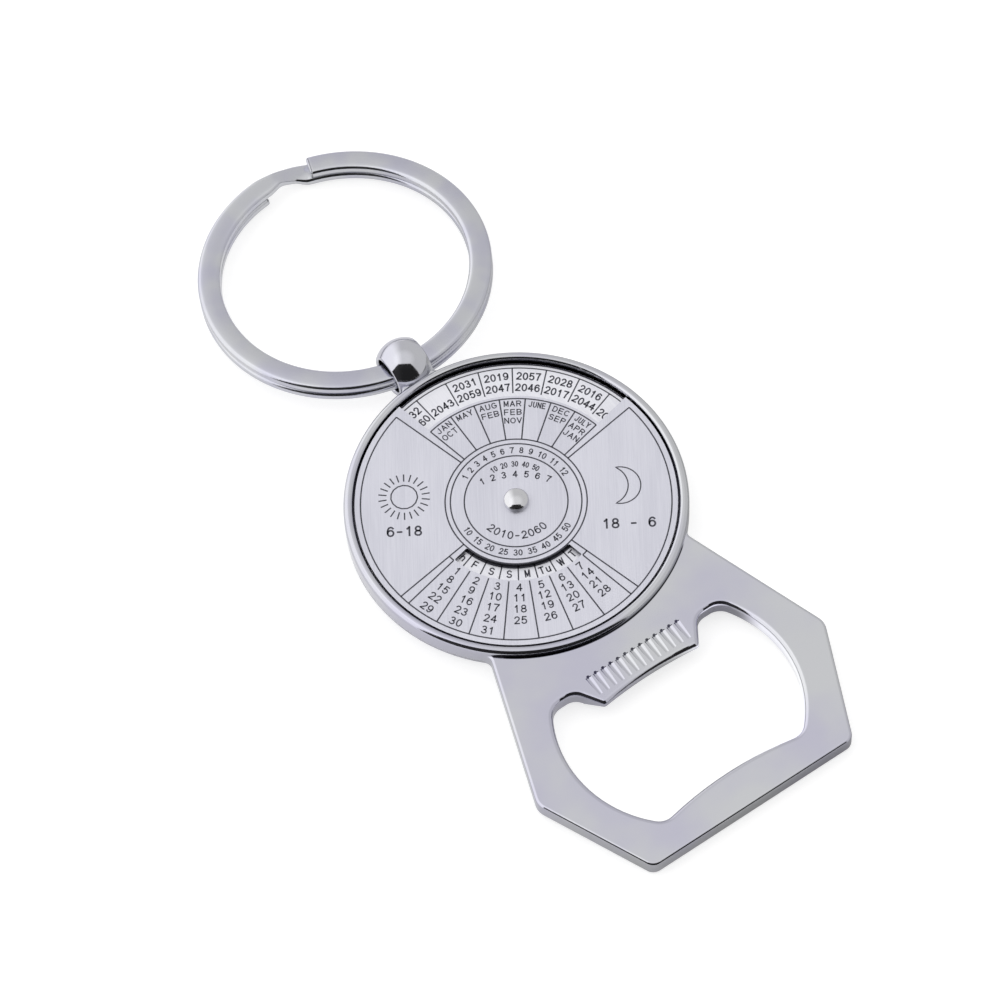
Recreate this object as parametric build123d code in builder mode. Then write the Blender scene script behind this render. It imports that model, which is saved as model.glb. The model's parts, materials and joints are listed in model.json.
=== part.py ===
from build123d import *
import os
from math import asin, atan, cos, degrees, hypot, radians, sin

# Perpetual calendar keyring, in millimetres.
# The origin is on the dial's axis, on the flat back face. The calendar faces +Z, the split ring lies
# towards +Y and the crown-cap opener towards -Y.

# Cup and plate of the cast body
head_radius = 19.0
rim_width = 1.0
cup_floor_height = 1.6
plate_thickness = 2.1
edge_round = 0.35
shoulder_round = 0.62
rim_inner_round = 0.33
junction_round = 1.0

# Outline of the opener plate, as half widths, the depth of its root behind the head's front edge, and
# reaches past that edge
root_half_width = 12.05
root_depth = 8.05
plate_half_width = 18.98
plate_wide_reach = 12.3
end_half_width = 13.08
end_reach = 25.44
wide_corner_round = 2.0
end_corner_round = 1.3

# Mouth that takes the crown cap, with the reach of its slots and its middle past the head, and the width of
# the bar that closes it
mouth_radius = 13.5
mouth_reach = 11.6
slot_reach = 3.68
end_bar_width = 4.66
bar_bulge_radius = 42.0
lobe_round = 1.9
slot_outer_round = 2.0
slot_inner_round = 1.7
mouth_edge_round = 0.58

# Tooth between the two slots
tooth_root_half_width = 8.15
tooth_length = 2.6
lip_half_width = 6.2
lip_hollow = 0.5
lip_corner_round = 0.4
lip_thickness = 0.7
lip_relief_length = 2.6

# Flutes on the tooth, each cut by a round tool that runs out towards the lip, and the pointed pit at its start
flute_count = 13
flute_pitch = 0.972
flute_radius = 0.45
flute_start_reach = 3.03
flute_length = 2.45
flute_start_depth = 0.19
flute_end_depth = 0.05
flute_pit_radius = 0.19
flute_pit_depth = 0.6

# Ball lug and its cross hole, with the reach of the ball's middle past the head, and the neck that joins the
# ball to the head and ends short of the hole
lug_radius = 3.35
lug_reach = 2.98
lug_height = 1.2
lug_hole_radius = 2.1
lug_hole_round = 0.25
neck_width = 4.0
neck_root_width = 6.0
neck_height = 2.1
neck_to_hole = 0.3
neck_round = 0.5

# Discs, washer and rivet
year_disc_thickness = 0.45
year_disc_clearance = 0.2
washer_thickness = 0.1
washer_radius = 3.0
running_gap = 0.02
dial_thickness = 0.45
dial_edge_clearance = 0.25
dial_sink = 0.32
rivet_shank_radius = 0.8
rivet_bearing_clearance = 0.05
rivet_head_radius = 1.4
rivet_head_height = 1.0
rivet_rim_height = 0.5
rivet_head_round = 0.4
rivet_set_depth = 1.2

# Openings of the dial: the weekday window inside it and the year notch at its edge
opening_angle = 90.0
notch_depth = 4.42
window_to_notch = 3.49
window_width = 1.96
opening_corner_round = 0.2
dial_turn = -32.75

# Split ring of flat wire, wound twice, as it lies: turned aside about the ball, and from the middle of the
# hole drawn a little towards the head and sunk a little towards the ground
ring_outer_radius = 16.75
wire_width = 2.6
wire_thickness = 1.18
wire_round = 0.45
coil_gap = 0.05
joggle_middle = 90.5
joggle_angle = 22.0
joggle_drop_angle = 8.0
joggle_steps = 16
ring_aside_angle = 7.0
ring_draw = 0.3
ring_sink = 0.1

# Overrun of every cut past the face that it opens
overrun = 0.5

# Heights of the stack above the back face
year_disc_top = cup_floor_height + year_disc_thickness
washer_top = year_disc_top + washer_thickness
dial_bottom = washer_top + running_gap
dial_top = dial_bottom + dial_thickness
head_height = dial_top + dial_sink
rivet_head_bottom = dial_top + running_gap

# Radii that follow the head, the cup and the rivet
cup_radius = head_radius - rim_width
year_disc_radius = cup_radius - year_disc_clearance
dial_radius = cup_radius - dial_edge_clearance
notch_inner_radius = dial_radius - notch_depth
window_outer_radius = notch_inner_radius - window_to_notch
window_inner_radius = window_outer_radius - window_width
bearing_radius = rivet_shank_radius + rivet_bearing_clearance

# Distances from the dial's axis that follow the head
root_distance = head_radius - root_depth
plate_wide_distance = head_radius + plate_wide_reach
end_distance = head_radius + end_reach
mouth_distance = head_radius + mouth_reach
bar_distance = end_distance - end_bar_width
slot_distance = head_radius + slot_reach
lip_distance = slot_distance + tooth_length
flute_start_distance = head_radius + flute_start_reach
lug_distance = head_radius + lug_reach


def mirrored(points):
    """The outline points of the right half, followed by their mirror images on the left."""
    return points + [(-x, y) for x, y in reversed(points)]


# Outline of the body seen from the face: plate and head, without the mouth
with BuildSketch() as body_outline:
    with BuildLine():
        Polyline(
            *mirrored(
                [
                    (root_half_width, -root_distance),
                    (plate_half_width, -plate_wide_distance),
                    (end_half_width, -end_distance),
                ]
            ),
            close=True,
        )
    make_face()
    fillet(body_outline.vertices().group_by(Axis.Y)[0], end_corner_round)
    wide_corners = body_outline.vertices().sort_by(Axis.X)
    fillet([wide_corners[0], wide_corners[-1]], wide_corner_round)
    Circle(head_radius)
    junctions = body_outline.vertices().filter_by_position(Axis.Y, -head_radius, -root_distance)
    fillet(junctions, junction_round)

# Outline of the mouth: the cap circle, closed by the end bar and by the tooth with a slot on each side
with BuildSketch() as mouth:
    with Locations((0, -mouth_distance)):
        Circle(mouth_radius)
    with Locations((0, -slot_distance)):
        Rectangle(2 * mouth_radius, mouth_radius, align=(Align.CENTER, Align.MIN), mode=Mode.SUBTRACT)
    with Locations((0, -bar_distance - bar_bulge_radius)):
        Circle(bar_bulge_radius, mode=Mode.SUBTRACT)
    with BuildLine():
        Polyline(
            (lip_half_width, -lip_distance - lip_hollow),
            (tooth_root_half_width, -slot_distance),
            (-tooth_root_half_width, -slot_distance),
            (-lip_half_width, -lip_distance - lip_hollow),
        )
        ThreePointArc(
            (-lip_half_width, -lip_distance - lip_hollow),
            (0, -lip_distance),
            (lip_half_width, -lip_distance - lip_hollow),
        )
    make_face(mode=Mode.SUBTRACT)
    fillet(mouth.vertices().group_by(Axis.Y)[0], lobe_round)
    fillet(mouth.vertices().group_by(Axis.Y)[-2], lip_corner_round)
    slot_corners = mouth.vertices().group_by(Axis.Y)[-1].sort_by(Axis.X)
    fillet([slot_corners[0], slot_corners[-1]], slot_outer_round)
    slot_corners = mouth.vertices().group_by(Axis.Y)[-1].sort_by(Axis.X)
    fillet(slot_corners[1:-1], slot_inner_round)

# Cast body: plate, cup, ball lug, tooth
with BuildPart() as opener_body:
    with BuildSketch():
        add(body_outline.sketch)
        add(mouth.sketch, mode=Mode.SUBTRACT)
    extrude(amount=plate_thickness)
    fillet(opener_body.edges().group_by(Axis.Z)[0], edge_round)
    fillet(opener_body.faces().sort_by(Axis.Z)[-1].outer_wire().edges(), edge_round)
    fillet(opener_body.faces().sort_by(Axis.Z)[-1].inner_wires()[0].edges(), mouth_edge_round)

    # Raised cup wall, rounded into a bead at the top
    with BuildSketch(Plane.XY.offset(plate_thickness / 2)):
        Circle(head_radius)
    extrude(amount=head_height - plate_thickness / 2)
    with BuildSketch(Plane.XY.offset(cup_floor_height)):
        Circle(cup_radius)
    extrude(amount=head_height, mode=Mode.SUBTRACT)
    rim_inner_edge, rim_outer_edge = opener_body.edges().group_by(Axis.Z)[-1].sort_by(SortBy.RADIUS)
    fillet(rim_outer_edge, shoulder_round)
    fillet(rim_inner_edge, rim_inner_round)

    # Ball lug, with its poles at the mouths of the hole, on a short neck that widens towards the head
    neck_start = head_radius - rim_width / 2
    neck_end = lug_distance - lug_hole_radius - neck_to_hole
    for distance, width in ((neck_start, neck_root_width), (neck_end, neck_width)):
        with BuildSketch(Plane.XZ.offset(-distance)):
            with Locations((0, lug_height)):
                RectangleRounded(width, neck_height, neck_round)
    loft()
    with Locations((0, lug_distance, lug_height)):
        Sphere(lug_radius, rotation=(0, 90, 0))
    with BuildSketch(Plane.YZ):
        with Locations((lug_distance, lug_height)):
            Circle(lug_hole_radius)
    extrude(amount=lug_radius, both=True, mode=Mode.SUBTRACT)
    fillet(opener_body.edges(Select.LAST).filter_by(GeomType.CIRCLE), lug_hole_round)

    # Hole for the rivet's shank in the cup floor
    with BuildSketch(Plane.XY.offset(cup_floor_height)):
        Circle(rivet_shank_radius)
    extrude(amount=-rivet_set_depth, mode=Mode.SUBTRACT)

    # Underside of the tooth, thinned towards the lip
    lip_tip = -lip_distance - lip_hollow
    relief_root = lip_tip + lip_relief_length
    relief_depth = plate_thickness - lip_thickness
    relief_slope = relief_depth / lip_relief_length
    with BuildSketch(Plane.YZ):
        with BuildLine():
            Polyline(
                (relief_root, 0),
                (relief_root + overrun, -overrun * relief_slope),
                (relief_root + overrun, -overrun),
                (lip_tip - overrun, -overrun),
                (lip_tip - overrun, relief_depth + overrun * relief_slope),
                close=True,
            )
        make_face()
    extrude(amount=tooth_root_half_width, both=True, mode=Mode.SUBTRACT)

    # Flutes across the tooth, and their pits
    flute_fall = flute_start_depth - flute_end_depth
    flute_direction = Vector(0, -flute_length, flute_fall)
    pit_top_radius = flute_pit_radius * (flute_pit_depth + overrun) / flute_pit_depth
    pit_align = (Align.CENTER, Align.CENTER, Align.MIN)
    for index in range(flute_count):
        flute_x = (index - (flute_count - 1) / 2) * flute_pitch
        flute_start = (flute_x, -flute_start_distance, plate_thickness + flute_radius - flute_start_depth)
        with BuildSketch(Plane(origin=flute_start, x_dir=(1, 0, 0), z_dir=flute_direction)):
            Circle(flute_radius)
        extrude(amount=flute_direction.length, mode=Mode.SUBTRACT)
        with Locations((flute_x, -flute_start_distance, plate_thickness - flute_pit_depth)):
            Cone(0, pit_top_radius, flute_pit_depth + overrun, align=pit_align, mode=Mode.SUBTRACT)
opener_body.part.label = "opener_body"

# Lower printed disc, fixed on the cup floor
with BuildPart() as year_disc:
    with BuildSketch(Plane.XY.offset(cup_floor_height)):
        Circle(year_disc_radius)
        Circle(bearing_radius, mode=Mode.SUBTRACT)
    extrude(amount=year_disc_thickness)
year_disc.part.label = "year_disc"

# Thin washer that carries the dial and gives it drag
with BuildPart() as friction_washer:
    with BuildSketch(Plane.XY.offset(year_disc_top)):
        Circle(washer_radius)
        Circle(bearing_radius, mode=Mode.SUBTRACT)
    extrude(amount=washer_thickness)
friction_washer.part.label = "friction_washer"


def ring_sector(inner_radius, outer_radius, middle_angle):
    """Cuts a ring sector of the dial's opening angle, with rounded inside corners, from the open sketch."""
    start_angle = middle_angle - opening_angle / 2
    end_angle = middle_angle + opening_angle / 2
    with BuildSketch(mode=Mode.PRIVATE) as sector:
        with BuildLine():
            inner = CenterArc((0, 0), inner_radius, start_angle, opening_angle)
            outer = CenterArc((0, 0), outer_radius, end_angle, -opening_angle)
            Line(inner @ 1, outer @ 0)
            Line(outer @ 1, inner @ 0)
        make_face()
        fillet(sector.vertices(), opening_corner_round)
    add(sector.sketch, mode=Mode.SUBTRACT)


# Turning dial with the weekday window and the open year notch, at the turn that the calendar shows
dial_plane = Plane(
    origin=(0, 0, dial_bottom),
    x_dir=(cos(radians(dial_turn)), sin(radians(dial_turn)), 0),
    z_dir=(0, 0, 1),
)
with BuildPart() as dial_disc:
    with BuildSketch(dial_plane):
        Circle(dial_radius)
        Circle(bearing_radius, mode=Mode.SUBTRACT)
        ring_sector(window_inner_radius, window_outer_radius, -90)
        ring_sector(notch_inner_radius, dial_radius + overrun, 90)
    extrude(amount=dial_thickness)
dial_disc.part.label = "dial_disc"

# Domed rivet, pressed into the cup floor
with BuildPart() as centre_rivet:
    with BuildSketch(Plane.XZ) as rivet_profile:
        with BuildLine():
            dome_height = rivet_head_height - rivet_rim_height
            dome_radius = (rivet_head_radius**2 + dome_height**2) / (2 * dome_height)
            rivet_rim_top = rivet_head_bottom + rivet_rim_height
            dome_top = rivet_head_bottom + rivet_head_height
            Polyline(
                (0, dome_top),
                (0, cup_floor_height - rivet_set_depth),
                (rivet_shank_radius, cup_floor_height - rivet_set_depth),
                (rivet_shank_radius, rivet_head_bottom),
                (rivet_head_radius, rivet_head_bottom),
                (rivet_head_radius, rivet_rim_top),
            )
            RadiusArc((rivet_head_radius, rivet_rim_top), (0, dome_top), -dome_radius)
        make_face()
        fillet(rivet_profile.vertices().group_by(Axis.X)[-1].sort_by(Axis.Y)[-1], rivet_head_round)
    revolve(axis=Axis.Z)
centre_rivet.part.label = "centre_rivet"

# The keyring lies on the ball lug and the far lower edge of the plate. That line is the ground, and the
# ring's far end lies on it too, which sets how far the ring leans down from the ball.
span = lug_distance + end_distance - edge_round
ground_slope = asin(lug_radius / hypot(span, lug_height)) - atan(lug_height / span)
ring_mean_radius = ring_outer_radius - wire_width / 2
hole_half_length = (lug_radius**2 - lug_hole_radius**2) ** 0.5
wire_bow = ring_mean_radius - (ring_mean_radius**2 - hole_half_length**2) ** 0.5
ring_centre_distance = ring_mean_radius - wire_bow / 2 - ring_draw
ring_reach = ring_centre_distance + ring_outer_radius
ring_drop = wire_thickness + coil_gap / 2
ring_rest_height = lug_radius - ring_sink
ring_lean = asin(ring_rest_height / hypot(ring_reach, ring_drop)) - atan(ring_drop / ring_reach)

# Directions of the ground: along it from the plate to the ball and past it, and out of it
ground_along = Vector(0, cos(ground_slope), -sin(ground_slope))
ground_up = Vector(0, sin(ground_slope), cos(ground_slope))

# Directions of the ring: along towards its far end, across that, and out of its upper side
aside = radians(ring_aside_angle)
ring_heading = ground_along * cos(aside) + Vector(1, 0, 0) * sin(aside)
ring_along = ring_heading * cos(ring_lean) - ground_up * sin(ring_lean)
ring_across = Vector(1, 0, 0) * cos(aside) - ground_along * sin(aside)
ring_up = ring_across.cross(ring_along)
ring_root = Vector(0, lug_distance, lug_height) - ground_up * ring_sink
ring_centre = ring_root + ring_along * ring_centre_distance
layer_offset = (wire_thickness + coil_gap) / 2


def wire_section_plane(angle, lift):
    """Plane across the wire at an angle round the ring, with the wire's middle lifted off the ring's plane."""
    outward = ring_across * cos(radians(angle)) + ring_along * sin(radians(angle))
    return Plane(
        origin=ring_centre + outward * ring_mean_radius + ring_up * lift,
        x_dir=outward,
        z_dir=outward.cross(ring_up),
    )


# Split ring: an upper coil, the joggle across its opening, and a lower coil. The joggle drops from one layer
# to the other just before the upper coil's end.
joggle_start = joggle_middle + joggle_angle / 2
joggle_end = joggle_middle - joggle_angle / 2
ring_axis = Axis(ring_centre, ring_up)
with BuildPart() as split_ring:
    for layer in (layer_offset, -layer_offset):
        with BuildSketch(wire_section_plane(joggle_start, layer)):
            RectangleRounded(wire_width, wire_thickness, wire_round)
        revolve(axis=ring_axis, revolution_arc=360 - joggle_angle)
    for step in range(joggle_steps + 1):
        joggle_turn = joggle_angle * step / joggle_steps
        share = max(0, 1 - (joggle_angle - joggle_turn) / joggle_drop_angle)
        ease = share * share * (3 - 2 * share)
        joggle_section = wire_section_plane(joggle_start - joggle_turn, layer_offset * (1 - 2 * ease))
        with BuildSketch(joggle_section):
            RectangleRounded(wire_width, wire_thickness, wire_round)
    loft(ruled=True)
split_ring.part.label = "split_ring"

os.makedirs("parts", exist_ok=True)
for piece in (opener_body, year_disc, friction_washer, dial_disc, centre_rivet, split_ring):
    export_step(piece.part, f"parts/{piece.part.label}.step")

print("ground slope", round(degrees(ground_slope), 3), "ring lean", round(degrees(ring_lean), 3))
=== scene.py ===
"""Perpetual calendar keyring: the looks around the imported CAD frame.

Objects are in metres in the row frame. Names that end in _MM or _mm hold millimetres, and so do the sizes
of the print and the points of the sections. Angles are in degrees.
"""

import json
import math

import bmesh
import bpy
from mathutils import Matrix, Vector

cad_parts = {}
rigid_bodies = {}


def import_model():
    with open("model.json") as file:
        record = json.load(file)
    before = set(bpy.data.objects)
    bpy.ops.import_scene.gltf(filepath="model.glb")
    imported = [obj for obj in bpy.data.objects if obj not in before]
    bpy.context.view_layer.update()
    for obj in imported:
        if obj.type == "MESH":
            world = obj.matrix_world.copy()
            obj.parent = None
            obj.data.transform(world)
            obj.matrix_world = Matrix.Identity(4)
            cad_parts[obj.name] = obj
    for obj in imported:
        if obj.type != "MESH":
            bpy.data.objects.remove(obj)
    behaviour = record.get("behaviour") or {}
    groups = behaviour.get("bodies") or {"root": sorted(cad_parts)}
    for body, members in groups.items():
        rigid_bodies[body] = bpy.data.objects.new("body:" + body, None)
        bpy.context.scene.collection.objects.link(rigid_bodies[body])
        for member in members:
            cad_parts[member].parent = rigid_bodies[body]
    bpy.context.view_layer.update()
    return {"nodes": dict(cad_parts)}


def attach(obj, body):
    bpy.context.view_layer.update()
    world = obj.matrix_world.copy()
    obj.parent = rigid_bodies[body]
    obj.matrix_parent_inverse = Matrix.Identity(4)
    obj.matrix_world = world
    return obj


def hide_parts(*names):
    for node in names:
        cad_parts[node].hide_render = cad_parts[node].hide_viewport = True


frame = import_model()
MM = 0.001

# The CAD source's own values
DIAL_TOP_MM = 2.62
YEAR_TOP_MM = 2.05
CUP_FLOOR_MM = 1.6
HEAD_HEIGHT_MM = 2.94
HEAD_RADIUS_MM = 19.0
CUP_RADIUS_MM = 18.0
SHOULDER_ROUND_MM = 0.62
RIM_INNER_ROUND_MM = 0.33
DIAL_TURN = -32.75
GROUND_SLOPE = 1.865
PLATE_END_MM = 44.09
MOUTH_DISTANCE_MM = 30.6
MOUTH_RADIUS_MM = 13.5
RING_CENTRE_MM = (1.82898, 36.8332, -0.352955)
RING_ACROSS = (0.992546, -0.121805, 0.003967)
RING_ALONG = (0.121616, 0.987864, -0.096616)
RING_OUTER_RADIUS_MM = 16.75
WIRE_WIDTH_MM = 2.6
WIRE_THICKNESS_MM = 1.18
WIRE_ROUND_MM = 0.45
COIL_GAP_MM = 0.05
# the joggle lies between the lower coil's end and the upper coil's end
JOGGLE_START = 101.5
JOGGLE_END = 79.5

# The photograph's camera, fitted to the dial's printed circles, and the keyring's turn in its view
BODY_TURN = 31.55
CAMERA_ELEVATION = 61.233
CAMERA_ROLL = -3.460
CAMERA_DISTANCE_MM = 548.64
FOCAL_PX = 5000.0
IMAGE_PX = 1001.0
DIAL_AXIS_PX = (516.11, 501.05)
SENSOR_MM = 36.0

# The split ring's mesh, where it is finer than the solid
WIRE_CROWN_SHARE = 0.12
WIRE_END_ROUND_MM = 0.30
JOGGLE_DROP_ANGLE = 16.0
INNER_PRESS_MM = 0.48
OUTER_PRESS_MM = 0.27
CORNER_SLOPE_MM = 0.30
JOGGLE_TWIST = 7.0
# where the wire is pressed, sloped and twisted, in degrees past the joggle's end: a middle and a half width,
# or a start and an end
INNER_PRESS_AT = (10.5, 11.5)
OUTER_PRESS_AT = (13.5, 10.0)
CORNER_SLOPE_AT = (7.5, 8.5)
TWIST_RISES_AT = (10.5, 3.5)
TWIST_FALLS_AT = (0.0, 2.5)
# the inner edge's press is this much steeper at its ends, and even between them
INNER_PRESS_GAIN = 1.3

# The skin over the cup's rim
SKIN_MM = 0.005
SKIN_FOOT_MM = 0.45

# The print
PRINT_RISE_MM = 0.008
PITCH = 360.0 / 28
LINE_MM = 0.16
FINE_LINE_MM = 0.15
BAND_INNER_MM = 5.69
BAND_OUTER_MM = 7.22
BAND_TEXT_MM = 6.41
BLOCKS_INNER_MM = 7.80
DATES_INNER_MM = 9.98
MONTHS_OUTER_MM = 12.97
DIAL_CIRCLE_MM = 17.10
BLOCK_HALF_ANGLE = 45.0
FRAME_HALF_ANGLE = 49.0
DATE_ROWS_MM = (10.72, 11.98, 13.33, 14.72, 16.18)
MONTH_ROW_MM = 12.32
MONTH_ROW_STEP_MM = 1.07
YEAR_CIRCLE_MM = 17.22
YEAR_ROWS_MM = (16.17, 14.72)
YEARS_INNER_MM = 14.0
WEEKDAY_ROW_MM = 8.80
WEEKDAYS_INNER_MM = 7.6
WEEKDAYS_OUTER_MM = 9.95
# the fixed year disc is turned by this much against the dial
YEAR_DISC_OFFSET = -0.4
SUN_MM = (-12.28, 1.08)
SUN_RADIUS_MM = 1.47
SUN_RAYS_MM = (1.95, 2.85)
SUN_RAY_COUNT = 22

for left_over in list(bpy.data.objects):
    if left_over.name in ("Cube", "Light", "Camera"):
        bpy.data.objects.remove(left_over)


def camera_basis():
    """Right, up and forward of the photograph's camera in the row frame."""
    elevation, roll = math.radians(CAMERA_ELEVATION), math.radians(CAMERA_ROLL)
    forward = Vector((0, math.cos(elevation), -math.sin(elevation)))
    right = Vector((1, 0, 0))
    up = right.cross(forward)
    turned_right = right * math.cos(roll) + up * math.sin(roll)
    turned_up = up * math.cos(roll) - right * math.sin(roll)
    turn = Matrix.Rotation(-math.radians(BODY_TURN), 3, "Z")
    return turn @ turned_right, turn @ turned_up, turn @ forward


def make_camera():
    """The camera that saw the dial's axis at its place in the photograph."""
    right, up, forward = camera_basis()
    shift_x = (DIAL_AXIS_PX[0] - IMAGE_PX / 2) / FOCAL_PX * CAMERA_DISTANCE_MM
    shift_y = (IMAGE_PX / 2 - DIAL_AXIS_PX[1]) / FOCAL_PX * CAMERA_DISTANCE_MM
    to_dial = right * shift_x + up * shift_y + forward * CAMERA_DISTANCE_MM
    place = Vector((0, 0, DIAL_TOP_MM)) - to_dial
    data = bpy.data.cameras.new("photo_camera")
    data.sensor_width = SENSOR_MM
    data.lens = FOCAL_PX * SENSOR_MM / IMAGE_PX
    data.clip_start, data.clip_end = 0.05, 50.0
    camera = bpy.data.objects.new("photo_camera", data)
    camera.matrix_world = Matrix.LocRotScale(
        place * MM, Matrix((right, up, -forward)).transposed().to_quaternion(), None
    )
    bpy.context.scene.collection.objects.link(camera)
    bpy.context.scene.camera = camera


class Tree:
    """A node tree with short calls for the nodes that the materials use."""

    def __init__(self, tree):
        self.tree = tree
        tree.nodes.clear()

    def add(self, kind, **values):
        """A new node with its settings."""
        node = self.tree.nodes.new(kind)
        for name, value in values.items():
            setattr(node, name, value)
        return node

    def link(self, a, b):
        self.tree.links.new(a, b)

    def put(self, value, socket):
        """Link an output to the socket, or set the socket to a constant."""
        if isinstance(value, bpy.types.NodeSocket):
            self.link(value, socket)
        else:
            socket.default_value = value

    def math(self, operation, a, b=0.0, clamp=False):
        node = self.add("ShaderNodeMath", operation=operation, use_clamp=clamp)
        self.put(a, node.inputs[0])
        self.put(b, node.inputs[1])
        return node.outputs[0]

    def ramp(self, value, low, high, to_low=0.0, to_high=1.0):
        """A smooth step from to_low at low to to_high at high."""
        node = self.add("ShaderNodeMapRange", interpolation_type="SMOOTHSTEP", clamp=True)
        for place, number in enumerate((value, low, high, to_low, to_high)):
            self.put(number, node.inputs[place])
        return node.outputs[0]

    def band(self, value, low_mm, high_mm, to_low=0.0, to_high=1.0):
        """A smooth step between two places in millimetres."""
        return self.ramp(value, low_mm * MM, high_mm * MM, to_low, to_high)

    def product(self, first, *others):
        for other in others:
            first = self.math("MULTIPLY", first, other)
        return first

    def dot(self, vector, direction):
        node = self.add("ShaderNodeVectorMath", operation="DOT_PRODUCT")
        self.link(vector, node.inputs[0])
        node.inputs[1].default_value = direction
        return node.outputs["Value"]

    def place(self, turn=0.0, scale=(1, 1, 1)):
        """Object coordinates, turned about Z and then scaled."""
        coordinates = self.add("ShaderNodeTexCoord")
        turned = self.add("ShaderNodeVectorRotate", rotation_type="Z_AXIS")
        self.link(coordinates.outputs["Object"], turned.inputs["Vector"])
        turned.inputs["Angle"].default_value = -math.radians(turn)
        scaled = self.add("ShaderNodeVectorMath", operation="MULTIPLY")
        self.link(turned.outputs[0], scaled.inputs[0])
        scaled.inputs[1].default_value = scale
        return scaled.outputs[0]

    def noise(self, vector, scale=1.0, detail=3.0, roughness=0.5):
        node = self.add("ShaderNodeTexNoise")
        self.link(vector, node.inputs["Vector"])
        node.inputs["Scale"].default_value = scale
        node.inputs["Detail"].default_value = detail
        node.inputs["Roughness"].default_value = roughness
        return node.outputs["Fac"]

    def mix(self, share, a, b):
        node = self.add("ShaderNodeMix", data_type="RGBA")
        self.put(share, node.inputs[0])
        self.put(a, node.inputs[6])
        self.put(b, node.inputs[7])
        return node.outputs[2]

    def bump(self, height, distance, strength=1.0):
        node = self.add("ShaderNodeBump")
        self.link(height, node.inputs["Height"])
        node.inputs["Distance"].default_value = distance
        node.inputs["Strength"].default_value = strength
        return node.outputs["Normal"]


def grey(value):
    return (value, value, value, 1.0)


def srgb(r, g, b):
    """Linear colour of an sRGB colour given in 0 to 255."""
    shares = (r / 255, g / 255, b / 255)
    return tuple(c / 12.92 if c <= 0.04045 else ((c + 0.055) / 1.055) ** 2.4 for c in shares) + (1.0,)


def new_material(name):
    """A material, its tree and its Principled shader."""
    material = bpy.data.materials.new(name)
    material.use_nodes = True
    tree = Tree(material.node_tree)
    shader = tree.add("ShaderNodeBsdfPrincipled")
    output = tree.add("ShaderNodeOutputMaterial")
    tree.link(shader.outputs[0], output.inputs["Surface"])
    return material, tree, shader


def cast_chrome():
    """Chrome on a zinc casting: soft mottling of tint and gloss, a faint orange peel, and painted shade in
    the cup and in the corner between the cup's wall and the plate.
    """
    material, tree, shader = new_material("cast_chrome")
    space = tree.place()
    broad = tree.noise(space, scale=75.0, detail=3.0, roughness=0.55)
    fine = tree.noise(space, scale=2600.0, detail=3.0, roughness=0.6)
    plated = tree.mix(tree.ramp(broad, 0.35, 0.65), srgb(190, 189, 203), srgb(199, 200, 203))
    parts = tree.add("ShaderNodeSeparateXYZ")
    tree.link(space, parts.inputs[0])
    x, y, z = parts.outputs
    reach = tree.math("ADD", tree.math("POWER", x, 2.0), tree.math("POWER", y, 2.0))
    reach = tree.math("SQRT", reach)
    # painted shade: the cup's wall and floor, below the rim's rounding, are painted dark
    wall_top = HEAD_HEIGHT_MM - RIM_INNER_ROUND_MM
    inside = tree.band(reach, CUP_RADIUS_MM + 0.06, CUP_RADIUS_MM + 0.10, 1.0, 0.0)
    low = tree.band(z, wall_top - 0.28, wall_top - 0.08, 1.0, 0.0)
    above = tree.band(z, CUP_FLOOR_MM - 0.5, CUP_FLOOR_MM - 0.3)
    cup_shade = tree.product(inside, low, above)
    # painted shade too in the corner between the cup's wall and the plate, on the plate's side
    from_wall = tree.math("ABSOLUTE", tree.math("SUBTRACT", reach, HEAD_RADIUS_MM * MM))
    corner_shade = tree.product(
        tree.band(from_wall, 0.04, 0.12, 1.0, 0.0),
        tree.band(y, -15.2, -14.6, 1.0, 0.0),
        tree.band(z, 1.9, 2.0),
        tree.band(z, 2.3, 2.6, 1.0, 0.0),
    )
    # the painted shade of the cup and the corner darkens the plating's colour
    shade = tree.math("MAXIMUM", cup_shade, corner_shade)
    tree.link(tree.mix(shade, plated, srgb(44, 44, 52)), shader.inputs["Base Color"])
    shader.inputs["Metallic"].default_value = 1.0
    tree.link(tree.ramp(fine, 0.3, 0.7, 0.07, 0.12), shader.inputs["Roughness"])
    tree.link(tree.bump(fine, distance=0.000004, strength=0.5), shader.inputs["Normal"])
    return material


def polished_chrome():
    """The rivet's bright head, with a faint grain."""
    material, tree, shader = new_material("polished_chrome")
    fine = tree.noise(tree.place(), scale=1800.0, detail=2.0, roughness=0.5)
    shader.inputs["Base Color"].default_value = srgb(205, 205, 208)
    shader.inputs["Metallic"].default_value = 1.0
    tree.link(tree.ramp(fine, 0.3, 0.7, 0.06, 0.11), shader.inputs["Roughness"])
    tree.link(tree.bump(fine, distance=0.000003, strength=0.4), shader.inputs["Normal"])
    return material


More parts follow.
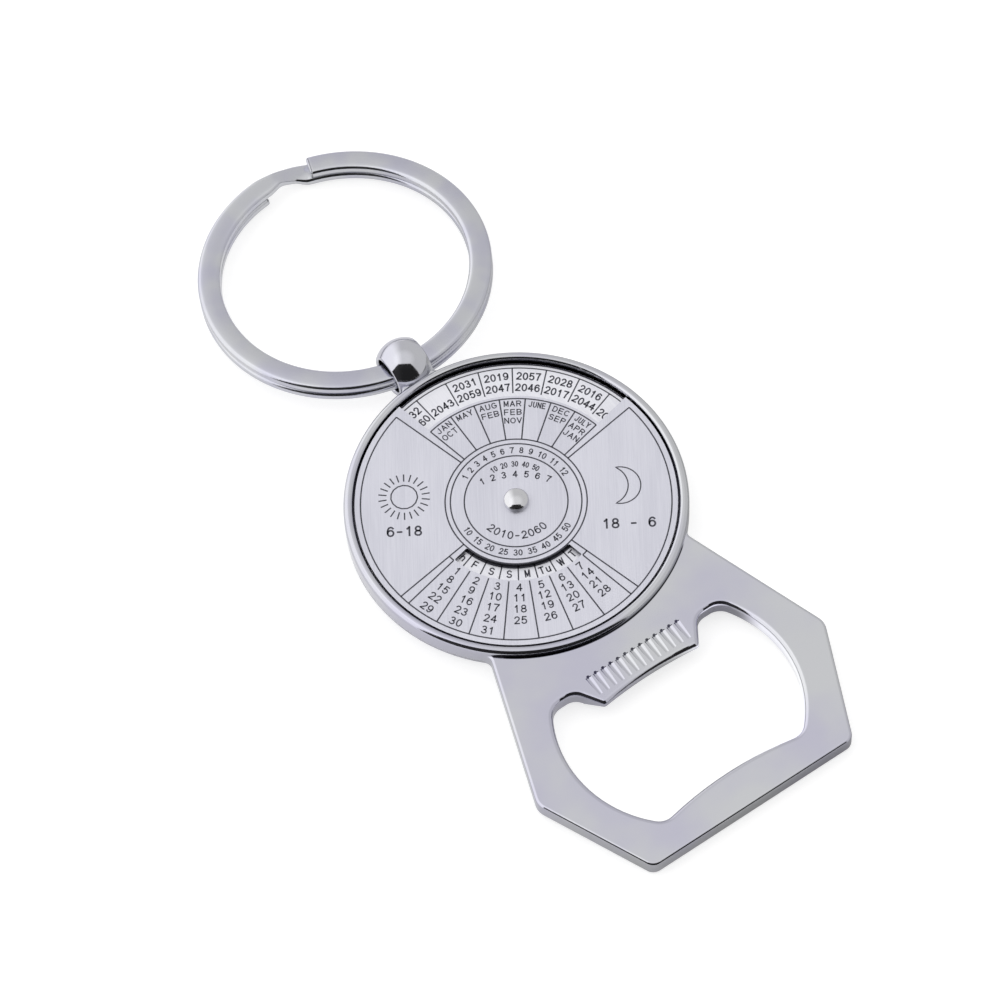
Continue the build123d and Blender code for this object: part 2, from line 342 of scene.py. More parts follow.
def brushed_disc(name, light, dark, turn, roughness):
    """Satin aluminium, brushed along the disc's own up direction, with painted shade on its punched edges.
    """
    material, tree, shader = new_material(name)
    lines = tree.noise(tree.place(turn, scale=(1, 0.02, 1)), scale=9000.0, detail=3.0, roughness=0.65)
    broad = tree.noise(tree.place(turn, scale=(1, 0.25, 1)), scale=260.0, detail=2.0, roughness=0.5)
    share = tree.math("ADD", tree.math("MULTIPLY", lines, 0.6), tree.math("MULTIPLY", broad, 0.4))
    brushed = tree.mix(tree.ramp(share, 0.35, 0.65), dark, light)
    # painted shade on the punched edges: those of the window and the notch are painted darker than those at
    # the rim
    facing = tree.add("ShaderNodeNewGeometry").outputs["Normal"]
    steep = tree.ramp(tree.math("ABSOLUTE", tree.dot(facing, (0, 0, 1))), 0.4, 0.8, 1.0, 0.0)
    parts = tree.add("ShaderNodeVectorMath", operation="MULTIPLY")
    tree.link(tree.place(), parts.inputs[0])
    parts.inputs[1].default_value = (1, 1, 0)
    reach = tree.add("ShaderNodeVectorMath", operation="LENGTH")
    tree.link(parts.outputs[0], reach.inputs[0])
    rim = tree.band(reach.outputs["Value"], 17.0, 17.4)
    edge_shade = tree.mix(rim, srgb(52, 52, 60), srgb(128, 128, 138))
    tree.link(tree.mix(steep, brushed, edge_shade), shader.inputs["Base Color"])
    shader.inputs["Metallic"].default_value = 0.6
    tree.link(tree.ramp(lines, 0.3, 0.7, roughness - 0.05, roughness + 0.05), shader.inputs["Roughness"])
    tree.link(tree.bump(lines, distance=0.000004, strength=0.6), shader.inputs["Normal"])
    return material


def drawn_steel():
    """Nickel-plated flat wire: soft mottling of tint and gloss, and a faint grain."""
    material, tree, shader = new_material("drawn_steel")
    space = tree.place()
    broad = tree.noise(space, scale=180.0, detail=2.0, roughness=0.5)
    fine = tree.noise(space, scale=3200.0, detail=3.0, roughness=0.6)
    plated = tree.mix(tree.ramp(broad, 0.35, 0.65), srgb(189, 189, 202), srgb(199, 200, 204))
    tree.link(plated, shader.inputs["Base Color"])
    shader.inputs["Metallic"].default_value = 1.0
    tree.link(tree.ramp(fine, 0.3, 0.7, 0.13, 0.20), shader.inputs["Roughness"])
    tree.link(tree.bump(fine, distance=0.000004, strength=0.5), shader.inputs["Normal"])
    return material


def white_plastic():
    """The hidden washer's plain plastic."""
    material, tree, shader = new_material("white_plastic")
    fine = tree.noise(tree.place(), scale=2500.0, detail=3.0, roughness=0.6)
    tree.link(tree.mix(fine, srgb(214, 214, 212), srgb(228, 228, 226)), shader.inputs["Base Color"])
    shader.inputs["Roughness"].default_value = 0.5
    return material


def print_ink():
    """Dark screen print, a little uneven, which also draws the painted shade bands on the year disc."""
    material, tree, shader = new_material("print_ink")
    fine = tree.noise(tree.place(), scale=5000.0, detail=3.0, roughness=0.6)
    tree.link(tree.mix(fine, srgb(54, 54, 64), srgb(74, 74, 86)), shader.inputs["Base Color"])
    shader.inputs["Roughness"].default_value = 0.55
    return material


def dress(name, material):
    """Give a CAD node its one material."""
    mesh = frame["nodes"][name].data
    mesh.materials.clear()
    mesh.materials.append(material)


def make_world():
    """A white tent, brighter on the left, whose open front is dark."""
    world = bpy.data.worlds.new("tent")
    bpy.context.scene.world = world
    world.use_nodes = True
    tree = Tree(world.node_tree)
    direction = tree.add("ShaderNodeTexCoord").outputs["Generated"]
    _, _, forward = camera_basis()
    front = Vector((-forward.x, -forward.y, 0)).normalized()
    right = Vector((0, 0, 1)).cross(front)
    ahead, side, height = (tree.dot(direction, v) for v in (front, right, (0, 0, 1)))
    # the open front is a rectangle in a wall, given as width and height over distance
    wall = tree.math("MAXIMUM", ahead, 0.001)
    across = tree.math("ABSOLUTE", tree.math("DIVIDE", side, wall))
    above = tree.math("DIVIDE", height, wall)
    opening = tree.math(
        "MULTIPLY",
        tree.ramp(across, 1.25, 1.45, 1, 0),
        tree.math("MULTIPLY", tree.ramp(above, 2.7, 3.1, 1, 0), tree.ramp(above, -0.30, -0.15)),
    )
    roof_light = tree.ramp(height, 0.70, 0.98, 0.80, 1.02)
    left_light = tree.ramp(side, -0.06, -0.55, 0.0, 0.62)
    light = tree.math("ADD", roof_light, left_light)
    light = tree.math("MULTIPLY", light, tree.ramp(opening, 0.0, 1.0, 1.0, 0.03))
    seen = tree.add("ShaderNodeLightPath").outputs["Is Camera Ray"]
    tent, plain = tree.add("ShaderNodeBackground"), tree.add("ShaderNodeBackground")
    for background in (tent, plain):
        background.inputs["Color"].default_value = grey(1.0)
    tree.link(light, tent.inputs["Strength"])
    mixed = tree.add("ShaderNodeMixShader")
    tree.link(seen, mixed.inputs[0])
    tree.link(tent.outputs[0], mixed.inputs[1])
    tree.link(plain.outputs[0], mixed.inputs[2])
    output = tree.add("ShaderNodeOutputWorld")
    tree.link(mixed.outputs[0], output.inputs["Surface"])


def make_floor():
    """A pale sheet on which the keyring lies, touching its ball lug, its far plate edge and its ring."""
    material = bpy.data.materials.new("pale_floor")
    material.use_nodes = True
    tree = Tree(material.node_tree)
    paint = tree.add("ShaderNodeBsdfDiffuse")
    paint.inputs["Color"].default_value = grey(0.50)
    glow = tree.add("ShaderNodeEmission")
    path = tree.add("ShaderNodeLightPath")
    seen = tree.math("ADD", path.outputs["Is Camera Ray"], path.outputs["Is Transmission Ray"], clamp=True)
    seen = tree.math("MULTIPLY", seen, 0.72)
    # painted light that only glossy rays see, so only the metal shows it: the sheet is painted brighter
    # towards the left, with a painted pool of light in the mouth
    space, turn = tree.place(), math.radians(BODY_TURN)
    across = tree.dot(space, (-math.cos(turn), math.sin(turn), 0))
    reach = tree.add("ShaderNodeVectorMath", operation="DISTANCE")
    tree.link(space, reach.inputs[0])
    reach.inputs[1].default_value = (0, -MOUTH_DISTANCE_MM * MM, 0)
    painted_light_pool = tree.product(
        tree.band(reach.outputs["Value"], MOUTH_RADIUS_MM - 1.0, MOUTH_RADIUS_MM + 1.0, 1.15, 0.0),
        tree.band(tree.dot(space, (1, 0, 0)), 2.0, 9.0),
        tree.band(tree.dot(space, (0, 1, 0)), -27.5, -24.5, 1.0, 0.0),
    )
    painted_glossy_light = tree.math("ADD", tree.band(across, -34.0, 30.0, 0.12, 0.62), painted_light_pool)
    painted_glossy_light = tree.math("MULTIPLY", path.outputs["Is Glossy Ray"], painted_glossy_light)
    tree.link(tree.math("ADD", seen, painted_glossy_light), glow.inputs["Strength"])
    both = tree.add("ShaderNodeAddShader")
    tree.link(paint.outputs[0], both.inputs[0])
    tree.link(glow.outputs[0], both.inputs[1])
    output = tree.add("ShaderNodeOutputMaterial")
    tree.link(both.outputs[0], output.inputs["Surface"])
    mesh = bpy.data.meshes.new("floor")
    slope = math.tan(math.radians(GROUND_SLOPE))
    half, below = 4.0, 0.00001
    corners = [(-half, -half), (half, -half), (half, half), (-half, half)]
    mesh.from_pydata(
        [(x, y, -(y + PLATE_END_MM * MM) * slope - below) for x, y in corners], [], [(0, 1, 2, 3)]
    )
    mesh.materials.append(material)
    floor = bpy.data.objects.new("floor", mesh)
    bpy.context.scene.collection.objects.link(floor)


class Print:
    """Flat print gathered in millimetres about the dial's axis, made into one thin mesh at the end."""

    def __init__(self, turn):
        self.turn = math.radians(turn)
        self.points, self.faces = [], []

    def shape(self, points, faces):
        """Add points, and faces that count from the first of them."""
        start = len(self.points)
        self.points += points
        self.faces += [tuple(start + i for i in face) for face in faces]

    def arc(self, radius, start=0.0, end=360.0, width=LINE_MM):
        """A line along a circle, with a step every 2.5 degrees."""
        steps = max(2, round(abs(end - start) / 2.5))
        angles = [math.radians(start + (end - start) * i / steps) for i in range(steps + 1)]
        points = []
        for angle in angles:
            for r in (radius - width / 2, radius + width / 2):
                points.append((r * math.cos(angle), r * math.sin(angle)))
        self.shape(points, [(2 * i, 2 * i + 1, 2 * i + 3, 2 * i + 2) for i in range(steps)])

    def line(self, a, b, width=LINE_MM):
        """A straight line from a to b."""
        dx, dy = b[0] - a[0], b[1] - a[1]
        size = math.hypot(dx, dy)
        nx, ny = -dy / size * width / 2, dx / size * width / 2
        self.shape(
            [
                (a[0] + nx, a[1] + ny), (a[0] - nx, a[1] - ny),
                (b[0] - nx, b[1] - ny), (b[0] + nx, b[1] + ny),
            ],
            [(0, 1, 2, 3)],
        )

    def spoke(self, angle, inner, outer, width=LINE_MM):
        """A line along a radius."""
        c, s = math.cos(math.radians(angle)), math.sin(math.radians(angle))
        self.line((inner * c, inner * s), (outer * c, outer * s), width)

    def path(self, points, width=LINE_MM, closed=False):
        """A line of one width through the points, with shared corners."""
        count = len(points)
        sides = []
        for i in range(count):
            before = points[i - 1] if closed or i else points[i]
            after = points[(i + 1) % count] if closed or i < count - 1 else points[i]
            dx, dy = after[0] - before[0], after[1] - before[1]
            size = math.hypot(dx, dy)
            nx, ny = -dy / size * width / 2, dx / size * width / 2
            sides += [(points[i][0] + nx, points[i][1] + ny), (points[i][0] - nx, points[i][1] - ny)]
        spans = count if closed else count - 1
        total = 2 * count
        self.shape(
            sides,
            [(2 * i, 2 * i + 1, (2 * i + 3) % total, (2 * i + 2) % total) for i in range(spans)],
        )

    def text(
        self, words, size, bold, wide=1.0, radius=None, angle=90.0, at=None, outward=True, bent=False
    ):
        """Words of one height and boldness: at a place, or on a circle with their tops outward or inward.

        Bent words follow the circle, others stay straight. A bent circle's middle can be given as the place.
        """
        unit = (size - bold) / LETTER_HIGH
        advance = LETTER_PITCH * unit * wide
        start = -(len(words) - 1) * advance / 2.0 - LETTER_WIDE / 2.0 * unit * wide
        middle = at or (0.0, 0.0)
        c, s = math.cos(math.radians(angle)), math.sin(math.radians(angle))

        def put(x, y):
            if radius is None:
                return middle[0] + x, middle[1] + y
            if bent:
                turn = math.radians(angle) + (-x if outward else x) / radius
                r = radius + (y if outward else -y)
                return middle[0] + r * math.cos(turn), middle[1] + r * math.sin(turn)
            along, across = (y, -x) if outward else (-y, x)
            return (radius + along) * c - across * s, (radius + along) * s + across * c

        for place, letter in enumerate(words):
            for stroke in STROKES[letter]:
                closed = len(stroke) > 3 and math.dist(stroke[0], stroke[-1]) < 0.01
                line = [
                    (start + place * advance + x * unit * wide, (y - LETTER_HIGH / 2.0) * unit)
                    for x, y in (stroke[:-1] if closed else stroke)
                ]
                if not closed:
                    line[0] = beyond(line[1], line[0], bold * STROKE_END_SHARE)
                    line[-1] = beyond(line[-2], line[-1], bold * STROKE_END_SHARE)
                self.path([put(x, y) for x, y in line], bold, closed)

    def make(self, name, height_mm, material, body, slot):
        """The mesh of all the print, turned and at its height, with every face upward."""
        c, s = math.cos(self.turn), math.sin(self.turn)
        mesh = bpy.data.meshes.new(name)
        mesh.from_pydata(
            [((x * c - y * s) * MM, (x * s + y * c) * MM, height_mm * MM) for x, y in self.points],
            [],
            self.faces,
        )
        mesh.materials.append(material)
        piece = bpy.data.objects.new(name, mesh)
        bpy.context.scene.collection.objects.link(piece)
        for polygon in mesh.polygons:
            if polygon.normal.z < 0:
                polygon.flip()
        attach(piece, body)


def beyond(a, b, extra):
    """The end b of the line from a, moved on by a little."""
    size = math.dist(a, b)
    return b[0] + (b[0] - a[0]) / size * extra, b[1] + (b[1] - a[1]) / size * extra


def oval(x, y, wide, high, start, end):
    """Points along an ellipse's arc, in the order of the two angles."""
    steps = max(3, round(abs(end - start) / 24.0))
    angles = [math.radians(start + (end - start) * i / steps) for i in range(steps + 1)]
    return [(x + wide * math.cos(a), y + high * math.sin(a)) for a in angles]


# the grid that the letters are drawn on, and how far a stroke runs past its end as a share of its width
LETTER_WIDE, LETTER_HIGH, LETTER_PITCH = 4.0, 6.0, 5.9
STROKE_END_SHARE = 0.4


def strokes():
    """Plain letters and digits as lines on a grid 4 wide and 6 high."""
    stem = [(0.2, 0.0), (0.2, 6.0)]
    bowl = [(0.2, 6.0)] + oval(2.2, 4.45, 1.7, 1.55, 90, -90) + [(0.2, 2.9)]
    six = [oval(2.0, 1.9, 1.9, 1.9, 0, 360), oval(2.15, 3.0, 2.1, 3.0, 200, 45)]
    return {
        " ": [],
        "-": [[(0.6, 2.6), (3.2, 2.6)]],
        "0": [oval(2.0, 3.0, 1.95, 3.0, 0, 360)],
        "1": [[(0.9, 4.6), (2.3, 5.8)], [(2.3, 6.0), (2.3, 0.0)]],
        "2": [oval(2.0, 4.3, 1.8, 1.7, 165, -35) + [(0.15, 0.1)], [(0.1, 0.0), (3.9, 0.0)]],
        "3": [oval(1.9, 4.55, 1.6, 1.45, 150, -90), oval(1.9, 1.55, 1.95, 1.55, 90, -155)],
        "4": [[(2.9, 0.0), (2.9, 6.0)], [(2.9, 6.0), (0.0, 1.9)], [(0.0, 1.9), (4.0, 1.9)]],
        "5": [[(3.6, 6.0), (0.8, 6.0)], [(0.8, 6.0), (0.35, 3.1)], oval(1.95, 1.95, 1.95, 1.95, 140, -150)],
        "6": six,
        "7": [[(0.1, 6.0), (3.9, 6.0)], [(3.9, 6.0), (2.3, 3.2), (1.5, 0.0)]],
        "8": [oval(2.0, 4.55, 1.6, 1.45, 0, 360), oval(2.0, 1.55, 1.95, 1.55, 0, 360)],
        "9": [[(4.0 - x, 6.0 - y) for x, y in line] for line in six],
        "A": [[(0.0, 0.0), (2.0, 6.0)], [(2.0, 6.0), (4.0, 0.0)], [(0.7, 1.9), (3.3, 1.9)]],
        "B": [stem, bowl, [(0.2, 2.9)] + oval(2.3, 1.45, 1.75, 1.45, 90, -90) + [(0.2, 0.0)]],
        "C": [oval(2.1, 3.0, 2.1, 3.0, 48, 312)],
        "D": [stem, [(0.2, 6.0)] + oval(1.7, 3.0, 2.2, 3.0, 90, -90) + [(0.2, 0.0)]],
        "E": [stem, [(0.2, 6.0), (3.7, 6.0)], [(0.2, 3.1), (3.4, 3.1)], [(0.2, 0.0), (3.8, 0.0)]],
        "F": [stem, [(0.2, 6.0), (3.7, 6.0)], [(0.2, 3.0), (3.3, 3.0)]],
        "G": [oval(2.1, 3.0, 2.1, 3.0, 48, 335), [(4.0, 1.7), (4.0, 2.8)], [(4.0, 2.8), (2.4, 2.8)]],
        "J": [[(3.3, 6.0)] + oval(1.8, 1.7, 1.5, 1.7, 0, -165)],
        "L": [[(0.3, 6.0), (0.3, 0.0)], [(0.3, 0.0), (3.8, 0.0)]],
        "M": [stem, [(0.2, 6.0), (2.0, 0.8)], [(2.0, 0.8), (3.8, 6.0)], [(3.8, 6.0), (3.8, 0.0)]],
        "N": [stem, [(0.2, 6.0), (3.8, 0.0)], [(3.8, 0.0), (3.8, 6.0)]],
        "O": [oval(2.0, 3.0, 2.15, 3.0, 0, 360)],
        "P": [stem, bowl],
        "R": [stem, bowl, [(2.2, 2.9), (3.8, 0.0)]],
        "S": [oval(2.0, 4.5, 1.75, 1.5, 30, 262) + oval(2.0, 1.55, 1.9, 1.55, 82, -150)],
        "T": [[(0.0, 6.0), (4.0, 6.0)], [(2.0, 6.0), (2.0, 0.0)]],
        "U": [[(0.2, 6.0)] + oval(2.0, 1.8, 1.8, 1.8, 180, 360) + [(3.8, 6.0)]],
        "V": [[(0.0, 6.0), (2.0, 0.0)], [(2.0, 0.0), (4.0, 6.0)]],
        "W": [
            [(-0.4, 6.0), (0.85, 0.0)], [(0.85, 0.0), (2.0, 5.6)],
            [(2.0, 5.6), (3.15, 0.0)], [(3.15, 0.0), (4.4, 6.0)],
        ],
        "Y": [[(0.0, 6.0), (2.0, 2.8)], [(4.0, 6.0), (2.0, 2.8)], [(2.0, 2.8), (2.0, 0.0)]],
        "h": [[(0.5, 0.0), (0.5, 6.0)], [(0.5, 2.6)] + oval(2.0, 2.7, 1.5, 1.4, 180, 0) + [(3.5, 0.0)]],
        "u": [[(0.5, 4.2)] + oval(2.0, 1.4, 1.5, 1.4, 180, 360) + [(3.5, 1.5)], [(3.5, 4.2), (3.5, 0.0)]],
    }


STROKES = strokes()

# months that start on the same weekday share a column; FEB and JAN stand twice, once for leap years
MONTH_COLUMNS = (
    ("JAN", "OCT"),
    ("MAY",),
    ("AUG", "FEB"),
    ("MAR", "FEB", "NOV"),
    ("JUNE",),
    ("DEC", "SEP"),
    ("JULY", "APR", "JAN"),
)


def dial_print():
    """The turning disc: month and date blocks, number tracks, the range of years, the sun and the moon."""
    sheet = Print(DIAL_TURN)
    top, foot = 90.0, 270.0
    for radius in (BAND_INNER_MM, BAND_OUTER_MM, BLOCKS_INNER_MM):
        sheet.arc(radius)
    # outer circle, open at the year notch
    sheet.arc(DIAL_CIRCLE_MM, top + FRAME_HALF_ANGLE, top + 360.0 - FRAME_HALF_ANGLE)
    # month block above the middle
    sheet.arc(MONTHS_OUTER_MM, top - BLOCK_HALF_ANGLE, top + BLOCK_HALF_ANGLE)
    for column in range(8):
        sheet.spoke(top - BLOCK_HALF_ANGLE + column * PITCH, BLOCKS_INNER_MM, MONTHS_OUTER_MM)
    for column, names in enumerate(MONTH_COLUMNS):
        for line, name in enumerate(names):
            wide = 1.12 if len(name) == 3 else 0.80
            radius = MONTH_ROW_MM - MONTH_ROW_STEP_MM * line
            angle = top + BLOCK_HALF_ANGLE - (column + 0.5) * PITCH
            sheet.text(name, size=0.76, bold=0.125, wide=wide, radius=radius, angle=angle)
    # date block under the middle
    for column in range(8):
        sheet.spoke(foot - BLOCK_HALF_ANGLE + column * PITCH, DATES_INNER_MM, DIAL_CIRCLE_MM)
    for side in (1, -1):
        sheet.arc(WEEKDAYS_OUTER_MM, foot + side * BLOCK_HALF_ANGLE, foot + side * FRAME_HALF_ANGLE)
        for half in (top, foot):
            sheet.spoke(half + side * FRAME_HALF_ANGLE, BLOCKS_INNER_MM, DIAL_CIRCLE_MM)
    for day in range(1, 32):
        line, column = divmod(day - 1, 7)
        angle = foot - BLOCK_HALF_ANGLE + (column + 0.5) * PITCH
        sheet.text(
            str(day), size=0.97, bold=0.15, wide=0.96, radius=DATE_ROWS_MM[line], angle=angle, outward=False
        )
    # plain number tracks in the band and round the middle
    band = {"size": 0.78, "bold": 0.13, "wide": 0.83, "radius": BAND_TEXT_MM, "bent": True}
    sheet.text("1 2 3 4 5 6 7 8 9 10 11 12", angle=top, **band)
    sheet.text("10 15 20 25 30 35 40 45 50", angle=foot, outward=False, **band)
    sheet.text("10 20 30 40 50", size=0.72, bold=0.12, wide=0.68, radius=4.68, angle=top, bent=True)
    sheet.text(
        "1 2 3 4 5 6 7", size=0.84, bold=0.14, wide=0.91, radius=9.14, angle=top, at=(0.0, -5.75), bent=True
    )
    sheet.text(
        "2010-2060", size=1.0, bold=0.15, wide=0.92, radius=4.27, angle=foot, outward=False, bent=True
    )
    # sun: a closed circle, whose last point is left out, and its rays
    x, y = SUN_MM
    circle = oval(x, y, SUN_RADIUS_MM, SUN_RADIUS_MM, 0, 352.5)
    sheet.path(circle, FINE_LINE_MM, closed=True)
    for ray in range(SUN_RAY_COUNT):
        angle = math.tau * (ray + 0.5) / SUN_RAY_COUNT
        inner, outer = ((x + r * math.cos(angle), y + r * math.sin(angle)) for r in SUN_RAYS_MM)
        sheet.line(inner, outer, FINE_LINE_MM)
    # moon: two arcs that meet at the horns
    upper_horn, lower_horn = (11.04, 3.71), (10.91, -0.78)
    outer = bulge(upper_horn, (13.75, 1.27), lower_horn)
    inner = bulge(lower_horn, (12.36, 1.27), upper_horn)
    sheet.path(outer[:-1] + inner[:-1], width=0.14, closed=True)
    # plain hours under the sun and the moon
    sheet.text("6-18", size=1.3, bold=0.21, wide=0.94, at=(-12.35, -3.19))
    sheet.text("18 - 6", size=1.3, bold=0.21, wide=0.94, at=(12.28, -3.28))
    return sheet


def bulge(a, middle, b, steps=24):
    """Points of the circle's arc from a through the middle point to b."""
    ax, ay, bx, by = a[0] - middle[0], a[1] - middle[1], b[0] - middle[0], b[1] - middle[1]
    double = 2.0 * (ax * by - ay * bx)
    x = middle[0] + (by * (ax * ax + ay * ay) - ay * (bx * bx + by * by)) / double
    y = middle[1] + (ax * (bx * bx + by * by) - bx * (ax * ax + ay * ay)) / double
    start = math.atan2(a[1] - y, a[0] - x)
    end = math.atan2(b[1] - y, b[0] - x)
    through = math.atan2(middle[1] - y, middle[0] - x)
    sweep = (end - start) % math.tau
    if (through - start) % math.tau > sweep:
        sweep -= math.tau
    radius = math.dist(a, (x, y))
    angles = [start + sweep * i / steps for i in range(steps + 1)]
    return [(x + radius * math.cos(angle), y + radius * math.sin(angle)) for angle in angles]


def year_columns():
    """The years of each of the seven classes, which the weekday of 1 March gives, counted from Wednesday.

    The weekday comes from Zeller's rule, which counts from Saturday.
    """
    columns = {}
    for year in range(2010, 2061):
        y, m = year, 3
        day = (1 + (13 * (m + 1)) // 5 + y % 100 + y % 100 // 4 + y // 100 // 4 + 5 * (y // 100)) % 7
        weekday = (day - 1) % 7
        columns.setdefault((weekday - 3) % 7, []).append(year)
    return columns


def year_print():
    """The fixed disc: 28 columns with two years each, the weekdays inside them, and two bands of painted
    shade.
    """
    sheet = Print(DIAL_TURN + YEAR_DISC_OFFSET)
    sheet.arc(YEAR_CIRCLE_MM, width=0.14)
    # painted shade as two dark bands: along the disc's edge, by the cup's wall, and inside the weekdays,
    # under the window's edge
    sheet.arc(17.69, width=0.20)
    sheet.arc(7.93, width=0.34)
    for column in range(28):
        angle = 90.0 + column * PITCH
        sheet.spoke(angle, YEARS_INNER_MM, YEAR_CIRCLE_MM, FINE_LINE_MM)
        sheet.spoke(angle + 180.0, WEEKDAYS_INNER_MM, WEEKDAYS_OUTER_MM, FINE_LINE_MM)
    # the columns that the photograph shows in the notch; the rest follow the calendar's rule
    shown = {
        -4: ("2032", "2060"), -3: ("", "2043"), -2: ("2031", "2059"), -1: ("2019", "2047"),
        0: ("2057", "2046"), 1: ("2028", "2017"), 2: ("2016", "2044"), 3: ("", "2027"),
    }
    used = {int(y) for pair in shown.values() for y in pair if y}
    rest = {c: [y for y in ys if y not in used] for c, ys in year_columns().items()}
    for column in range(-4, 24):
        angle = 90.0 - (column + 0.5) * PITCH
        if column in shown:
            pair = shown[column]
        else:
            kind = (1 - column) % 7
            pair = tuple(str(rest[kind].pop(0)) if rest[kind] else "" for _ in range(2))
        for line, year in enumerate(pair):
            if year:
                sheet.text(year, size=1.0, bold=0.17, wide=0.87, radius=YEAR_ROWS_MM[line], angle=angle)
    week = ("S", "M", "Tu", "W", "Th", "F", "S")
    for column in range(28):
        angle = 270.0 + (column - 0.5) * PITCH
        sheet.text(
            week[column % 7], size=0.95, bold=0.16, wide=0.95,
            radius=WEEKDAY_ROW_MM, angle=angle, outward=False,
        )
    return sheet


def sweep_mesh(name, rows, joined):
    """A smooth mesh of rows of points in millimetres, each row a closed section.

    The last row is joined to the first, or both get an end face.
    """
    size = len(rows[0])
    points = [tuple(c * MM for c in point) for row in rows for point in row]
    faces = []
    for i in range(len(rows) if joined else len(rows) - 1):
        k = (i + 1) % len(rows)
        for j in range(size):
            m = (j + 1) % size
            faces.append((i * size + j, i * size + m, k * size + m, k * size + j))
    if not joined:
        faces += [tuple(range(size)), tuple(range(len(points) - size, len(points)))]
    mesh = bpy.data.meshes.new(name)
    mesh.from_pydata(points, [], faces)
    whole = bmesh.new()
    whole.from_mesh(mesh)
    bmesh.ops.recalc_face_normals(whole, faces=whole.faces)
    whole.to_mesh(mesh)
    whole.free()
    mesh.shade_smooth()
    for polygon in mesh.polygons:
        if len(polygon.vertices) > 4:
            polygon.use_smooth = False
    piece = bpy.data.objects.new(name, mesh)
    bpy.context.scene.collection.objects.link(piece)
    return piece


def rim_skin(material):
    """The cup's wall and rounded rim as one fine skin over the casting, from the foot to the wall inside."""
    wall_steps, shoulder_steps, inner_steps, around = 5, 18, 10, 720
    # the skin closes through the wall, between these two points
    inside_drop, inside_step, foot_step = 0.7, 0.15, 0.3
    shoulder = (HEAD_RADIUS_MM - SHOULDER_ROUND_MM, HEAD_HEIGHT_MM - SHOULDER_ROUND_MM)
    inner = (CUP_RADIUS_MM + RIM_INNER_ROUND_MM, HEAD_HEIGHT_MM - RIM_INNER_ROUND_MM)
    rise = shoulder[1] - SKIN_FOOT_MM
    section = [
        (HEAD_RADIUS_MM + SKIN_MM, SKIN_FOOT_MM + rise * i / wall_steps) for i in range(wall_steps)
    ]
    for middle, rounding, start, steps in (
        (shoulder, SHOULDER_ROUND_MM, 0.0, shoulder_steps),
        (inner, RIM_INNER_ROUND_MM, 90.0, inner_steps),
    ):
        for i in range(steps + 1):
            a = math.radians(start + 90.0 * i / steps)
            r = rounding + SKIN_MM
            section.append((middle[0] + r * math.cos(a), middle[1] + r * math.sin(a)))
    section.append((CUP_RADIUS_MM + inside_step, HEAD_HEIGHT_MM - inside_drop))
    section.append((HEAD_RADIUS_MM - foot_step, SKIN_FOOT_MM))
    rows = []
    for i in range(around):
        c, s = math.cos(math.tau * i / around), math.sin(math.tau * i / around)
        rows.append([(r * c, r * s, z) for r, z in section])
    piece = sweep_mesh("rim_skin", rows, joined=True)
    piece.data.materials.append(material)
    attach(piece, "body")


def wire_section(inner_in=0.0, outer_in=0.0, slope_down=0.0):
    """Outline of the flat wire: rounded corners, and faces that are crowned a little.

    The inner and the outer edge can be drawn in, and the upper inner corner can slope, as they do where the
    wire is pressed.
    """
    corner_steps, face_steps = 8, 8
    half_wide, half_thick = WIRE_WIDTH_MM / 2, WIRE_THICKNESS_MM / 2
    flat = half_wide - WIRE_ROUND_MM
    points = []
    for side, end, start in ((1, 1, 0), (-1, 1, 90), (-1, -1, 180), (1, -1, 270)):
        for i in range(corner_steps + 1):
            a = math.radians(start + 90.0 * i / corner_steps)
            points.append((
                side * flat + WIRE_ROUND_MM * math.cos(a),
                end * (half_thick - WIRE_ROUND_MM) + WIRE_ROUND_MM * math.sin(a),
            ))
        if side == end:
            # points along the face that follows this corner
            shares = [1 - 2 * i / face_steps for i in range(1, face_steps)]
            points += [(end * flat * share, end * half_thick) for share in shares]
    outline = []
    for x, y in points:
        y *= 1.0 - WIRE_CROWN_SHARE * (x / half_wide) ** 2
        inward, outward = max(0.0, -x / half_wide), max(0.0, x / half_wide)
        slope = max(0.0, y / half_thick) * inward ** 2
        outline.append((x + inner_in * inward - outer_in * outward, y - slope_down * slope))
    return outline


def bump(at, middle, half_width):
    """A smooth bump: 1 in the middle and 0 beyond half_width from it."""
    return 0.5 + 0.5 * math.cos(math.pi * min(1.0, abs(at - middle) / half_width))


def smooth_step(at, start, end):
    """A smooth step from 0 at the start to 1 at the end."""
    share = min(1.0, max(0.0, (at - start) / (end - start)))
    return share * share * (3 - 2 * share)


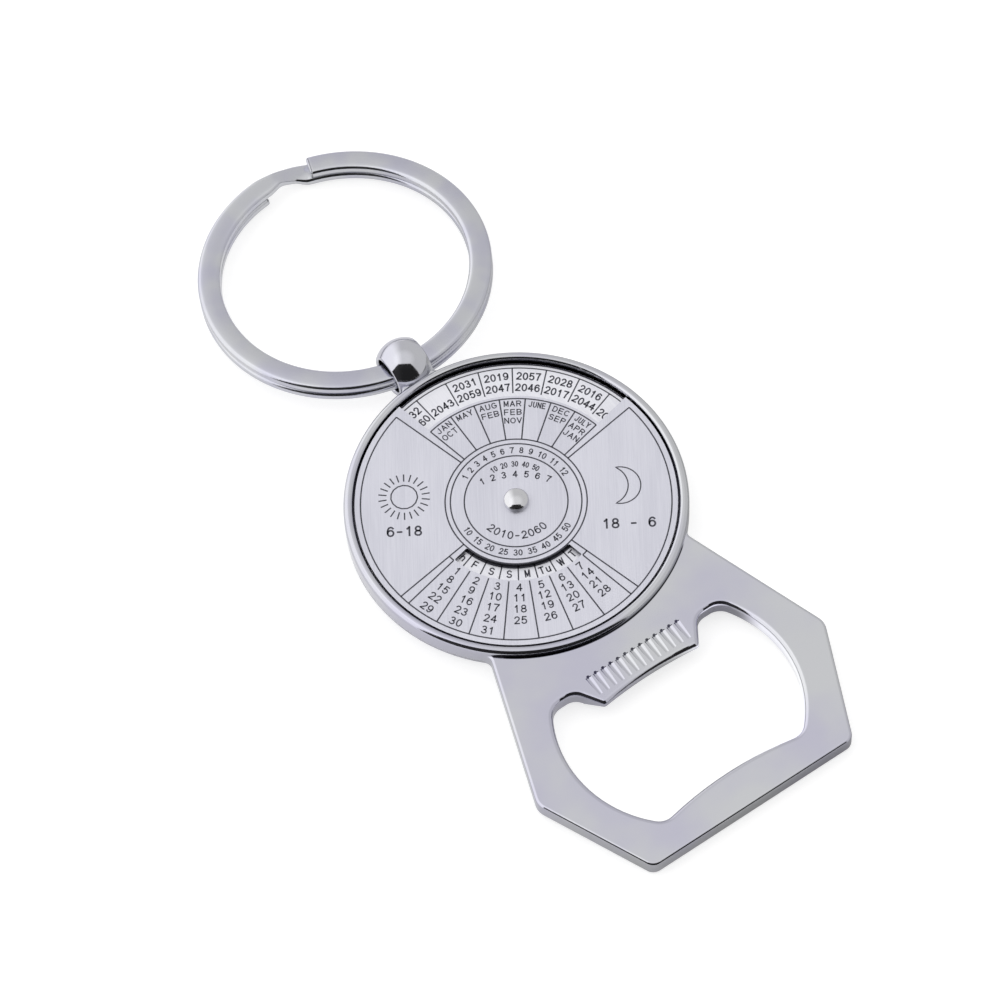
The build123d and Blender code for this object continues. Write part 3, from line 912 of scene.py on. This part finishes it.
def ring_mesh(material):
    """The split ring as one continuous wire: the upper coil, the joggle and the lower coil."""
    centre, across, along = Vector(RING_CENTRE_MM), Vector(RING_ACROSS), Vector(RING_ALONG)
    up = across.cross(along)
    mean = RING_OUTER_RADIUS_MM - WIRE_WIDTH_MM / 2
    layer = (WIRE_THICKNESS_MM + COIL_GAP_MM) / 2
    start, end = JOGGLE_END + 360.0, JOGGLE_START - 360.0
    # stations along the wire, closer together at its rounded ends
    steps, end_shares = 1120, (0.0, 0.06, 0.2, 0.42, 0.7)
    near = [math.degrees(WIRE_END_ROUND_MM * share / mean) for share in end_shares]
    inside = [start + (end - start) * i / steps for i in range(1, steps)]
    stations = [start - turn for turn in near] + inside + [end + turn for turn in reversed(near)]
    rows = []
    for angle in stations:
        # as it nears the joggle's end, the wire drops, twists and is pressed on both edges
        past = angle - JOGGLE_END
        lift = layer * (1 - 2 * smooth_step(past, JOGGLE_DROP_ANGLE, 0.0))
        inner_in = INNER_PRESS_MM * min(1.0, INNER_PRESS_GAIN * bump(past, *INNER_PRESS_AT))
        outer_in = OUTER_PRESS_MM * bump(past, *OUTER_PRESS_AT)
        slope_down = CORNER_SLOPE_MM * bump(past, *CORNER_SLOPE_AT)
        twist = JOGGLE_TWIST * smooth_step(past, *TWIST_RISES_AT) * smooth_step(past, *TWIST_FALLS_AT)
        outward = across * math.cos(math.radians(angle)) + along * math.sin(math.radians(angle))
        middle = centre + outward * mean + up * lift
        to_end = math.radians(min(start - angle, angle - end)) * mean
        back = max(0.0, WIRE_END_ROUND_MM - to_end)
        inset = WIRE_END_ROUND_MM - math.sqrt(WIRE_END_ROUND_MM ** 2 - back ** 2)
        wide, high = 1.0 - 2.0 * inset / WIRE_WIDTH_MM, 1.0 - 2.0 * inset / WIRE_THICKNESS_MM
        c, s = math.cos(math.radians(twist)), math.sin(math.radians(twist))
        rows.append([
            tuple(middle + outward * (x * wide * c - y * high * s) + up * (x * wide * s + y * high * c))
            for x, y in wire_section(inner_in, outer_in, slope_down)
        ])
    piece = sweep_mesh("split_ring_wire", rows, joined=False)
    piece.data.materials.append(material)
    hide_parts("split_ring")
    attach(piece, "ring")


make_camera()
make_world()
make_floor()
chrome, bright, steel = cast_chrome(), polished_chrome(), drawn_steel()
dress("opener_body", chrome)
rim_skin(chrome)
dress("centre_rivet", bright)
dress("split_ring", steel)
ring_mesh(steel)
dress("dial_disc", brushed_disc(
    "dial_aluminium", light=srgb(224, 224, 234), dark=srgb(213, 213, 224), turn=DIAL_TURN, roughness=0.34
))
dress("year_disc", brushed_disc(
    "year_aluminium", light=srgb(246, 246, 252), dark=srgb(235, 235, 243), turn=0.0, roughness=0.40
))
dress("friction_washer", white_plastic())
ink_and_shade = print_ink()
dial_print().make("dial_print", DIAL_TOP_MM + PRINT_RISE_MM, ink_and_shade, "dial", "dial_metal")
year_print().make("year_print", YEAR_TOP_MM + PRINT_RISE_MM, ink_and_shade, "body", "year_metal")

bpy.context.scene.view_settings.view_transform = "Standard"
